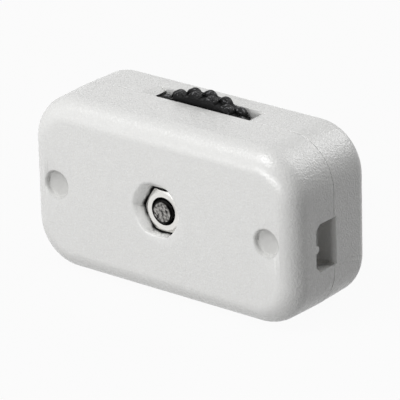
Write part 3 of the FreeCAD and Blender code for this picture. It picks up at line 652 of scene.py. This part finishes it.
# Clamp screw: a slotted pan-head machine screw, headed and thread rolled from steel wire, nickel
# plated. Its end was sheared off short, so it is rough there and only a little bevelled.
screw_tip = -8.98 * MM
head_seat = 5.45 * MM
head_top = 7.35 * MM
major_radius = 1.75 * MM
minor_radius = 1.36 * MM
thread_pitch = 25.4 / 32 * MM
head_radius = 3.35 * MM
head_round = 0.75 * MM
head_edge = 0.12 * MM
head_core = 1.6 * MM
head_steps = 6
tip_bevel_radius = 1.68 * MM
tip_bevel_slope = 0.9
flank_rise = 1.6
flank_slope = 5.2
rings_a_turn = 8
thread_steps = 40
rings = []
depth = screw_tip
while depth < head_seat:
    rings.append(depth)
    depth += thread_pitch / rings_a_turn
rings.append(head_seat)
vertices = []
for depth in rings:
    for step in range(thread_steps):
        phase = (depth / thread_pitch - step / thread_steps) % 1
        flank = min(1, max(0, flank_rise - abs(phase - 0.5) * flank_slope))
        radius = minor_radius + (major_radius - minor_radius) * flank
        radius = min(radius, tip_bevel_radius + (depth - screw_tip) * tip_bevel_slope)
        angle = 2 * math.pi * step / thread_steps
        vertices.append(screw_axis + Vector((radius * math.sin(angle), depth, radius * math.cos(angle))))
faces = [tuple(range(thread_steps))]
for ring in range(len(rings) - 1):
    here, there = ring * thread_steps, (ring + 1) * thread_steps
    for step in range(thread_steps):
        following = (step + 1) % thread_steps
        faces.append((here + step, here + following, there + following, there + step))
shoulder = (len(rings) - 1) * thread_steps
faces.append(tuple(range(shoulder + thread_steps - 1, shoulder - 1, -1)))
clamp_screw = closed_mesh("clamp_screw_threaded", vertices, faces)
neck = head_seat - 0.1 * MM
head = [(0, neck), (head_core, neck), (head_core, head_seat)]
head += [(head_radius - head_edge, head_seat), (head_radius, head_seat + head_edge)]
for step in range(head_steps + 1):
    turn = math.pi / 2 * step / head_steps
    radius = head_radius - head_round * (1 - math.cos(turn))
    head.append((radius, head_top - head_round * (1 - math.sin(turn))))
head += [(head_core, head_top), (0, head_top)]
carve(clamp_screw, closed_mesh("pan_head", *turned_shape(head, 72, screw_axis)), "UNION")
slot_half = 0.45 * MM
slot_floor = head_top - 0.95 * MM
slot_open = head_top + 1 * MM
slot_reach = 4 * MM
slot_section = [
    (slot_floor, -slot_half), (slot_open, -slot_half), (slot_open, slot_half), (slot_floor, slot_half)
]
vertices = [
    screw_axis + Vector((across, depth, up))
    for across in (-slot_reach, slot_reach) for depth, up in slot_section
]
faces = [(0, 1, 2, 3), (7, 6, 5, 4), (0, 4, 5, 1), (1, 5, 6, 2), (2, 6, 7, 3), (3, 7, 4, 0)]
carve(clamp_screw, closed_mesh("driver_slot", vertices, faces), "DIFFERENCE")
smooth_faces(clamp_screw, 35)

# Sheared steel end. The eye sees a dull grey torn face, mottled dark and light at a few tenths of
# a millimetre.
sheared, tree, surface, coordinates = start_material("sheared_steel")
surface.inputs["Metallic"].default_value = 1.0
place = coordinates.outputs["Object"]
tear_size = 0.42 * MM
tears = add_node(tree, "ShaderNodeTexNoise", {"Vector": place, "Scale": 1 / tear_size, "Detail": 4.0})
torn = add_node(
    tree, "ShaderNodeMapRange",
    {"Value": tears.outputs["Fac"], "From Min": 0.35, "From Max": 0.65, "To Min": 0.0, "To Max": 1.0},
)
tint = add_node(
    tree, "ShaderNodeMix", {0: torn.outputs["Result"], 6: linear("181716"), 7: linear("A5A3A0")},
    data_type="RGBA",
)
tear_bump = add_node(
    tree, "ShaderNodeBump", {"Height": tears.outputs["Fac"], "Strength": 0.9, "Distance": 0.2 * MM}
)
surface.inputs["Roughness"].default_value = 0.5
tree.links.new(tint.outputs[2], surface.inputs["Base Color"])
tree.links.new(tear_bump.outputs["Normal"], surface.inputs["Normal"])

torn_depth = 0.02 * MM
shaded_thread_length = 2.5 * MM
clamp_screw.data.materials.clear()
for material in (nickel, sheared, thread_shade_steel):
    clamp_screw.data.materials.append(material)
# The torn tip takes the sheared steel; the thread next to it, inside the nut, takes the steel with painted
# thread shade.
for face in clamp_screw.data.polygons:
    spot = face.center - screw_axis
    if spot.y < screw_tip + torn_depth:
        face.material_index = 1
    elif spot.y < screw_tip + shaded_thread_length:
        face.material_index = 2
finish_node("clamp_screw", nickel)
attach(clamp_screw, "screw")
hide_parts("clamp_screw")

# Floor: a plain sheet of pale matt paper under the switch. It keeps the switch's soft shadow, and it
# is seen as nearly white by the camera and in reflections, without giving more light.
floor_half = 1.5
paper_white = 0.95
floor_mesh = bpy.data.meshes.new("floor")
floor_mesh.from_pydata(
    [(-floor_half, -floor_half, 0), (floor_half, -floor_half, 0), (floor_half, floor_half, 0),
     (-floor_half, floor_half, 0)], [], [(0, 1, 2, 3)],
)
floor = bpy.data.objects.new("floor", floor_mesh)
bpy.context.scene.collection.objects.link(floor)
pale_sheet = bpy.data.materials.new("pale_sheet")
pale_sheet.use_nodes = True
tree = pale_sheet.node_tree
surface = tree.nodes["Principled BSDF"]
surface.inputs["Base Color"].default_value = linear("989898")
surface.inputs["Roughness"].default_value = 0.9
white_glow = add_node(tree, "ShaderNodeEmission", {"Color": (1, 1, 1, 1), "Strength": 1.0})


def seen_directly(tree):
    """1 where the camera or a reflection shows the surface, and 0 where it only gives light."""
    ray = add_node(tree, "ShaderNodeLightPath")
    straight_or_mirrored = add_node(
        tree, "ShaderNodeMath", {0: ray.outputs["Is Camera Ray"], 1: ray.outputs["Is Glossy Ray"]},
        operation="MAXIMUM",
    )
    seen = add_node(
        tree, "ShaderNodeMath",
        {0: straight_or_mirrored.outputs["Value"], 1: ray.outputs["Is Transmission Ray"]},
        operation="MAXIMUM",
    )
    return seen.outputs["Value"]


white_share = add_node(
    tree, "ShaderNodeMath", {0: seen_directly(tree), 1: paper_white}, operation="MULTIPLY"
)
sheet_look = add_node(
    tree, "ShaderNodeMixShader",
    {0: white_share.outputs["Value"], 1: surface.outputs["BSDF"], 2: white_glow.outputs["Emission"]},
)
tree.links.new(sheet_look.outputs["Shader"], tree.nodes["Material Output"].inputs["Surface"])
floor_mesh.materials.append(pale_sheet)

# Studio light: a soft lamp high in front to the left, a weaker one low in front, one behind that
# puts a sheen on the rounded corners, and a white room that gives hardly any light of its own.
world = bpy.data.worlds.new("white_room")
bpy.context.scene.world = world
world.use_nodes = True
tree = world.node_tree
room = tree.nodes["Background"]
room.inputs["Color"].default_value = (1, 1, 1, 1)
room.inputs["Strength"].default_value = 0.02
backdrop = add_node(tree, "ShaderNodeBackground", {"Color": (1, 1, 1, 1), "Strength": 1.0})
room_look = add_node(
    tree, "ShaderNodeMixShader",
    {0: seen_directly(tree), 1: room.outputs["Background"], 2: backdrop.outputs["Background"]},
)
tree.links.new(room_look.outputs["Shader"], tree.nodes["World Output"].inputs["Surface"])

switch_middle = Vector((0, 0, 14)) * MM


def soft_lamp(name, direction, distance, width, height, power):
    """A flat lamp that faces the middle of the switch."""
    light = bpy.data.lights.new(name, "AREA")
    light.shape = "RECTANGLE"
    light.size = width
    light.size_y = height
    light.energy = power
    lamp = bpy.data.objects.new(name, light)
    towards_lamp = Vector(direction).normalized()
    lamp.location = switch_middle + towards_lamp * distance
    lamp.rotation_euler = towards_lamp.to_track_quat("Z", "Y").to_euler()
    bpy.context.scene.collection.objects.link(lamp)


soft_lamp("key_lamp", (-0.21, -0.46, 0.86), distance=0.5, width=0.25, height=0.25, power=1.6)
soft_lamp("front_lamp", (-0.1, -0.98, 0.15), distance=0.5, width=0.4, height=0.1, power=1.15)
soft_lamp("back_lamp", (0.29, 0.76, 0.58), distance=0.5, width=0.32, height=0.3, power=1.05)

# Camera: the photograph's viewing angle, from the front right and above, with a long lens on a full
# frame and a slight roll.
camera_data = bpy.data.cameras.new("camera")
camera_data.sensor_width = 36
camera_data.lens = 342.26
camera = bpy.data.objects.new("camera", camera_data)
bpy.context.scene.collection.objects.link(camera)
bpy.context.scene.camera = camera
camera_place = Vector((327.22, -407.18, 229.68)) * MM
camera_yaw = math.radians(38.734)
camera_pitch = math.radians(22.531)
camera_roll = math.radians(-1.529)
camera.location = camera_place
turn = Matrix.Rotation(camera_yaw, 4, "Z") @ Matrix.Rotation(math.pi / 2 - camera_pitch, 4, "X")
turn = turn @ Matrix.Rotation(camera_roll, 4, "Z")
camera.rotation_euler = turn.to_euler()

bpy.context.scene.view_settings.view_transform = "Standard"
